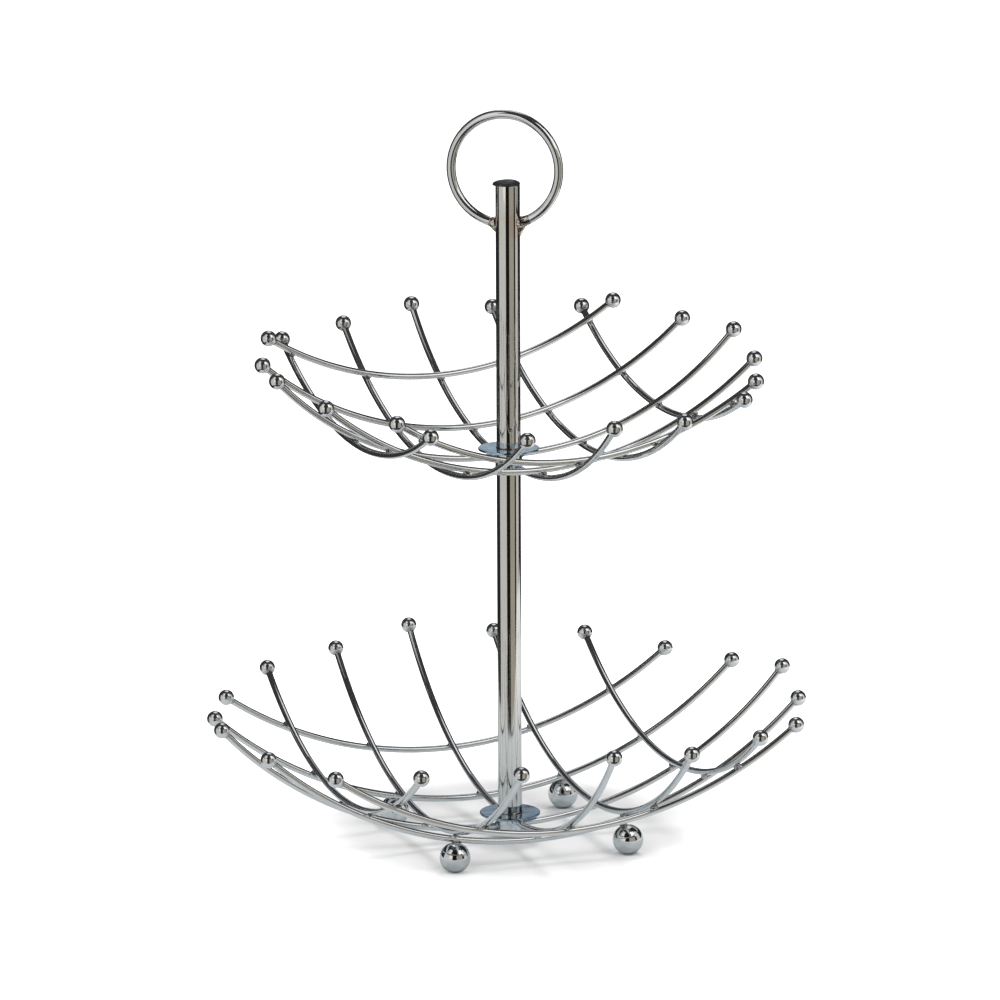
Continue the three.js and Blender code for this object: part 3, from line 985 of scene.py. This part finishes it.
class BASKET_OT_ring(bpy.types.Operator):
    """Makes the carrying ring and the brazed fillets that hold its two ends to the tube"""

    bl_idname = "basket.ring"
    bl_label = "Carrying ring"

    def execute(self, context):
        sizes = context.scene.basket_column
        ring = RingPath(sizes)
        turn = math.tau + ring.left - ring.right
        stations = [(ring.at(ring.right + turn * step / RING_STEPS),
                     0 if step in (0, RING_STEPS) else 1) for step in range(RING_STEPS + 1)]
        piece = swept_bar("carrying_ring_polished", stations, sizes.ring_wire, RING_SIDES,
                          made_of(chromed_drawn_bar))
        finish_piece(piece, CHROME_SLOT, "carrying_ring")
        self.fillet("left", ring, ring.left, sizes)
        self.fillet("right", ring, ring.right, sizes)
        return {"FINISHED"}

    def fillet(self, name, ring, end, sizes):
        """Filler that has run round one end of the ring and sagged down the tube."""
        reach, drips, seed = BRAZES[name]
        rng = np.random.default_rng(seed)
        side = math.copysign(1, end)
        shape = bmesh.new()
        for step in range(COAT_STEPS + 1):
            part = step / COAT_STEPS
            size = sizes.ring_wire / 2 * (1.38 - 0.36 * part ** 0.6)
            add_ball(shape, ring.at(end + side * part * reach), (size, size, size))
        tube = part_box("upper_tube")[1].x
        foot = ring.at(end)
        for step in range(RUN_STEPS + 1):
            part = step / RUN_STEPS
            sway = Vector((rng.uniform(-0.3, 0.3), rng.uniform(-0.3, 0.3), 0)) * MM
            height = foot.z - (1.2 + 4.2 * part) * MM * drips
            out = side * (tube + (0.9 - 1.1 * part) * MM)
            size = (2.1 - 1.2 * part) * MM * (0.85 + 0.15 * drips)
            add_ball(shape, Vector((out * ring.way.x, out * ring.way.y, height)) + sway,
                     (size, size, size * 1.2))
        name = f"ring_braze_{name}"
        piece = mesh_piece(name, mesh_of(name, shape), made_of(plated_braze))
        remesh = piece.modifiers.new("one skin", "REMESH")
        remesh.mode = "VOXEL"
        remesh.voxel_size = BRAZE_SKIN
        remesh.use_smooth_shade = True
        smooth = piece.modifiers.new("flow", "SMOOTH")
        smooth.factor = 0.5
        smooth.iterations = 8
        settled(piece, piece.data.materials[0])
        tidy_mesh(piece.data, math.radians(80))
        finish_piece(piece, CHROME_SLOT)


def add_ball(shape, place, size):
    """Adds a ball, stretched to a size along each axis, to a shape in hand."""
    matrix = Matrix.Translation(place) @ Matrix.Diagonal((*size, 1))
    bmesh.ops.create_icosphere(shape, subdivisions=3, radius=1, matrix=matrix)


class BASKET_OT_cap(bpy.types.Operator):
    """Makes the black end cap: a thin crowned flange over the tube, and its finned shank"""

    bl_idname = "basket.cap"
    bl_label = "End cap"

    def execute(self, context):
        sizes, studio = context.scene.basket_column, context.scene.basket_studio
        low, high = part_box("end_cap")
        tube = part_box("upper_tube")[1]
        mesh = turned_mesh("end_cap_moulded", self.profile(low, high, tube, sizes), closed=False)
        slip = studio_direction(studio, -90, 0) * sizes.cap_slip
        tilt = Matrix.Rotation(sizes.cap_tilt, 4, studio_direction(studio, 0, 0))
        pivot = Vector((0, 0, tube.z))
        for corner in mesh.vertices:
            if corner.co.z >= tube.z - 0.01 * MM and Vector(corner.co[:2]).length > CAP_SHANK * 1.2:
                corner.co = pivot + tilt @ (corner.co - pivot) + slip
                corner.co.z = min(corner.co.z, high.z)
        piece = mesh_piece("end_cap_moulded", mesh, made_of(moulded_black_plastic))
        finish_piece(piece, PLASTIC_SLOT, "end_cap")
        return {"FINISHED"}

    def profile(self, low, high, tube, sizes):
        """Half of the cap's outline, from the shank's lower end to the crown."""
        top, flange = tube.z, high.x
        bore = tube.x - sizes.tube_wall
        pitch = (top - low.z) / 4
        fin_half, fin_gap = 0.4 * MM, 0.3 * MM
        profile = [(0, low.z), (CAP_SHANK, low.z)]
        for fin in (1, 2, 3):
            height = low.z + fin * pitch
            profile += [(CAP_SHANK, height - fin_half), (bore - fin_gap, height),
                        (CAP_SHANK, height + fin_half)]
        profile += [(CAP_SHANK, top), (flange - CAP_RIM, top),
                    (flange - 0.12 * MM, top + 0.1 * MM), (flange, top + 0.3 * MM),
                    (flange - 0.05 * MM, top + CAP_RIM)]
        rise = high.z - top - CAP_RIM
        for step in range(1, CAP_STEPS + 1):
            turn = math.pi / 2 * step / CAP_STEPS
            profile.append((flange * math.cos(turn), top + CAP_RIM + rise * math.sin(turn)))
        return profile


class BASKET_OT_fasteners(bpy.types.Operator):
    """Gives the CAD screw, stud and inserts their turned-steel finish"""

    bl_idname = "basket.fasteners"
    bl_label = "Screw, stud and inserts"

    def execute(self, context):
        for node in PLAIN_STEEL_NODES:
            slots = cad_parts[node].material_slots
            if not slots:
                raise RuntimeError(f"{node} has no material slot to refinish")
            for slot in slots:
                slot.material = made_of(turned_steel)
        return {"FINISHED"}


# ---- Stage -----------------------------------------------------------------------------------


class BasketStudio(bpy.types.PropertyGroup):
    """Camera and studio round the basket."""

    azimuth: angle("Camera azimuth", "Turn of the camera from straight in front", -20.15)
    elevation: angle("Camera elevation", "Height of the camera above the horizon", 12.29)
    roll: angle("Camera roll", "Tilt of the camera about its own axis", 0.22)
    distance: length("Camera distance", "From the camera to the column", 3.0)
    lens: bpy.props.FloatProperty(
        name="Lens", description="Focal length in millimetres", default=207.0)
    aim_height: length("Aim height", "Height of the point that the camera stands back from", 0.2)
    aim_right: length(
        "Aim right", "How far that point sits right of the view's middle", 4.55 * MM)
    aim_up: length("Aim up", "How far that point sits above the view's middle", 15.8 * MM)


def studio_direction(studio, turn, rise):
    """A direction from the basket: degrees right of the camera and degrees above the horizon."""
    azimuth = studio.azimuth
    front = Vector((math.sin(azimuth), -math.cos(azimuth), 0))
    right = Vector((math.cos(azimuth), math.sin(azimuth), 0))
    turn, rise = math.radians(turn), math.radians(rise)
    level = front * math.cos(turn) + right * math.sin(turn)
    return level * math.cos(rise) + Vector((0, 0, math.sin(rise)))


# Panels that only polished metal sees: name, turn from, turn to, rise from, rise to, distance
# in metres, linear colour. The nearer ones stand in front of the farther ones.
PANELS = [
    ("dark_room", -180, 180, -75, 90, 3.4, (0.022, 0.022, 0.023)),
    ("back_wall", 152, 200, -40, 22, 3.3, (0.05, 0.05, 0.055)),
    ("back_wall_glow", 173, 187, 4, 24, 3.2, (0.42, 0.48, 0.52)),
    ("left_wall", -91, -20, -40, 24, 3.1, (0.60, 0.60, 0.575)),
    ("left_wall_light", -44, -20, 0, 24, 3.05, (0.88, 0.88, 0.86)),
    ("camera_side_gap", -18, 12, -40, 60, 3.0, (0.011, 0.009, 0.006)),
    ("right_door", 12, 57, -40, 22, 3.0, (0.37, 0.345, 0.29)),
    ("right_door_edge", 57, 69, -40, 14, 2.95, (0.012, 0.012, 0.010)),
    ("right_wall", 73, 104, -40, 22, 3.0, (0.60, 0.59, 0.55)),
    ("left_softbox", -63, -35, 24, 61, 1.2, (0.80, 0.80, 0.79)),
    ("left_softbox_side", -82, -63, 25, 61, 1.2, (0.46, 0.46, 0.45)),
    ("right_softbox", 33, 62, 25, 62, 1.2, (1.28, 1.28, 1.27)),
    ("right_softbox_middle", 62, 80, 17, 55, 1.2, (1.05, 1.05, 1.04)),
    ("right_softbox_side", 80, 100, 10, 42, 1.2, (0.65, 0.65, 0.64)),
    ("back_window", 150, 210, 48, 76, 2.6, (0.90, 0.91, 0.93)),
    ("back_window_low", 168, 192, 24, 48, 2.6, (0.34, 0.34, 0.35)),
]

# Lamps: name, turn, rise, size in metres, power in watts.
LAMPS = [
    ("left_lamp", -42, 48, 0.8, 11),
    ("right_lamp", 48, 50, 0.8, 9),
    ("back_lamp", 165, 58, 0.6, 12),
]


def panel_mesh(name, studio, turns, rises, distance):
    """A curved panel on a sphere round the basket."""
    steps = [max(2, round((stop - start) / PANEL_FACE)) for start, stop in (turns, rises)]
    centre = Vector((0, 0, studio.aim_height))
    shape = bmesh.new()
    grid = [[shape.verts.new(centre + distance * studio_direction(
        studio, turns[0] + (turns[1] - turns[0]) * across / steps[0],
        rises[0] + (rises[1] - rises[0]) * up / steps[1])) for across in range(steps[0] + 1)]
        for up in range(steps[1] + 1)]
    for low, high in zip(grid, grid[1:]):
        for index in range(steps[0]):
            shape.faces.new((low[index], low[index + 1], high[index + 1], high[index]))
    return mesh_of(name, shape)


def glow(name, shade):
    """A plain glowing surface that lights nothing by itself."""
    material = bpy.data.materials.new(name)
    recipe = Recipe(material)
    recipe.finish(recipe.node("ShaderNodeEmission", values={"Color": opaque(shade)}))
    material.cycles.emission_sampling = "NONE"
    return material


def for_metal_only(panel):
    """Hides a panel from everything but mirror reflections."""
    for kind in ("camera", "diffuse", "shadow", "transmission", "volume_scatter"):
        setattr(panel, f"visible_{kind}", False)


def white_sweep(recipe, place):
    """A white floor. Mirror rays see it only near the basket, with painted shadow under it; beyond it lies
    the studio.
    """
    studio = bpy.context.scene.basket_studio
    camera, glossy = recipe.rays("Camera", "Glossy")
    front = recipe.along(place, studio_direction(studio, 0, 0))
    right = recipe.along(place, studio_direction(studio, 90, 0))
    inside = (recipe.mask(right, -0.27, -0.23) * (1 - recipe.mask(right, 0.60, 0.70))
              * recipe.mask(front, -0.39, -0.34) * (1 - recipe.mask(front, 0.155, 0.195)))
    away = recipe.distance(place, (0, 0, 0))
    behind = studio_direction(studio, 180, 0) * 0.025
    far = recipe.mask(recipe.distance(place, behind), 0.07, 0.15)
    # Mirror rays see the floor darker and bluer under the basket, as painted shadow, and lighter to the
    # right.
    near = recipe.blend(recipe.mask(away, 0.06, 0.12), (0.44, 0.48, 0.50), (0.52, 0.55, 0.565))
    middle = recipe.blend(recipe.mask(away, 0.16, 0.26), near, (0.52, 0.53, 0.53))
    mirrored = recipe.blend(recipe.mask(right, 0.14, 0.32), middle, (0.74, 0.75, 0.75))
    paper = recipe.node("ShaderNodeBsdfDiffuse", values={
        "Color": recipe.blend(glossy, (0.69, 0.69, 0.69), mirrored)})
    lift = recipe.node("ShaderNodeEmission", values={
        "Color": opaque(WHITE), "Strength": (0.04 + far * 0.96) * camera})
    lit = recipe.node("ShaderNodeAddShader", values={0: paper, 1: lift})
    clear = recipe.node("ShaderNodeBsdfTransparent")
    recipe.finish(recipe.node("ShaderNodeMixShader", values={
        0: (1 - inside) * glossy, 1: lit, 2: clear}))


class BASKET_OT_stage(bpy.types.Operator):
    """Makes the floor, the studio round it, the lamps, the world and the camera"""

    bl_idname = "basket.stage"
    bl_label = "Stage"

    def execute(self, context):
        studio = context.scene.basket_studio
        context.scene.view_settings.view_transform = "Standard"
        self.floor()
        for name, turn_from, turn_to, rise_from, rise_to, distance, shade in PANELS:
            mesh = panel_mesh(name, studio, (turn_from, turn_to), (rise_from, rise_to), distance)
            for_metal_only(mesh_piece(name, mesh, glow(name, shade)))
        self.lamps(studio)
        self.world(context.scene)
        self.camera(context.scene, studio)
        return {"FINISHED"}

    def floor(self):
        shape = bmesh.new()
        bmesh.ops.create_circle(shape, cap_ends=True, segments=96, radius=FLOOR_RADIUS)
        mesh_piece("floor", mesh_of("floor", shape), made_of(white_sweep))

    def lamps(self, studio):
        for name, turn, rise, size, power in LAMPS:
            light = bpy.data.lights.new(name, "AREA")
            light.size = size
            light.energy = power
            lamp = bpy.data.objects.new(name, light)
            bpy.context.scene.collection.objects.link(lamp)
            way = studio_direction(studio, turn, rise)
            lamp.location = Vector((0, 0, 0.1)) + LAMP_DISTANCE * way
            lamp.rotation_euler = way.to_track_quat("Z", "Y").to_euler()
            lamp.visible_glossy = False

    def world(self, scene):
        """White where it is seen or mirrored, and plain grey daylight for everything else."""
        scene.world = bpy.data.worlds.new("white_studio")
        recipe = Recipe(scene.world)
        camera, glossy, through = recipe.rays("Camera", "Glossy", "Transmission")
        seen = camera.maths("MAXIMUM", camera, glossy.maths("MAXIMUM", glossy, through))
        day, white = [recipe.node("ShaderNodeBackground", values={
            "Color": opaque(WHITE), "Strength": strength}) for strength in (DAYLIGHT, 1.0)]
        recipe.finish(recipe.node("ShaderNodeMixShader", values={0: seen, 1: day, 2: white}),
                      "ShaderNodeOutputWorld")

    def camera(self, scene, studio):
        lens = bpy.data.cameras.new("camera")
        lens.lens = studio.lens
        lens.sensor_width = 36
        lens.clip_start = 0.05
        lens.clip_end = 60
        camera = bpy.data.objects.new("camera", lens)
        scene.collection.objects.link(camera)
        back = studio_direction(studio, 0, math.degrees(studio.elevation))
        level_right = studio_direction(studio, 90, 0)
        level_up = back.cross(level_right)
        right = level_right * math.cos(studio.roll) - level_up * math.sin(studio.roll)
        up = level_up * math.cos(studio.roll) + level_right * math.sin(studio.roll)
        target = Vector((0, 0, studio.aim_height))
        place = target + back * studio.distance
        middle = target - right * studio.aim_right - up * studio.aim_up
        axis = (place - middle).normalized()
        side = up.cross(axis).normalized()
        turn = Matrix((side, axis.cross(side), axis)).transposed()
        camera.matrix_world = Matrix.Translation(place) @ turn.to_4x4()
        scene.camera = camera


# ---- Panel and registration ------------------------------------------------------------------


OPERATORS = (BASKET_OT_rods, BASKET_OT_welds, BASKET_OT_feet, BASKET_OT_hubs, BASKET_OT_column,
             BASKET_OT_ring, BASKET_OT_cap, BASKET_OT_fasteners, BASKET_OT_stage)


class BASKET_PT_pieces(bpy.types.Panel):
    """Lists the basket's pieces and their sizes"""

    bl_idname = "BASKET_PT_pieces"
    bl_label = "Wire Fruit Basket"
    bl_space_type = "VIEW_3D"
    bl_region_type = "UI"
    bl_category = "Fruit Basket"

    def draw(self, context):
        for operator in OPERATORS:
            self.layout.operator(operator.bl_idname)
        for group in (context.scene.basket_rods, context.scene.basket_column,
                      context.scene.basket_colours, context.scene.basket_studio):
            box = self.layout.box()
            for name in group.__annotations__:
                box.prop(group, name)


GROUPS = (("basket_rods", BasketRodSizes), ("basket_column", BasketColumnSizes),
          ("basket_colours", BasketColours), ("basket_studio", BasketStudio))
CLASSES = (*(group for _, group in GROUPS), *OPERATORS, BASKET_PT_pieces)


def register():
    for entry in CLASSES:
        bpy.utils.register_class(entry)
    for name, group in GROUPS:
        setattr(bpy.types.Scene, name, bpy.props.PointerProperty(type=group))


def unregister():
    for name, _ in GROUPS:
        delattr(bpy.types.Scene, name)
    for entry in reversed(CLASSES):
        bpy.utils.unregister_class(entry)


def main():
    """Makes every piece in order."""
    register()
    for operator in OPERATORS:
        group, name = operator.bl_idname.split(".")
        getattr(getattr(bpy.ops, group), name)()


if __name__ == "__main__":
    main()
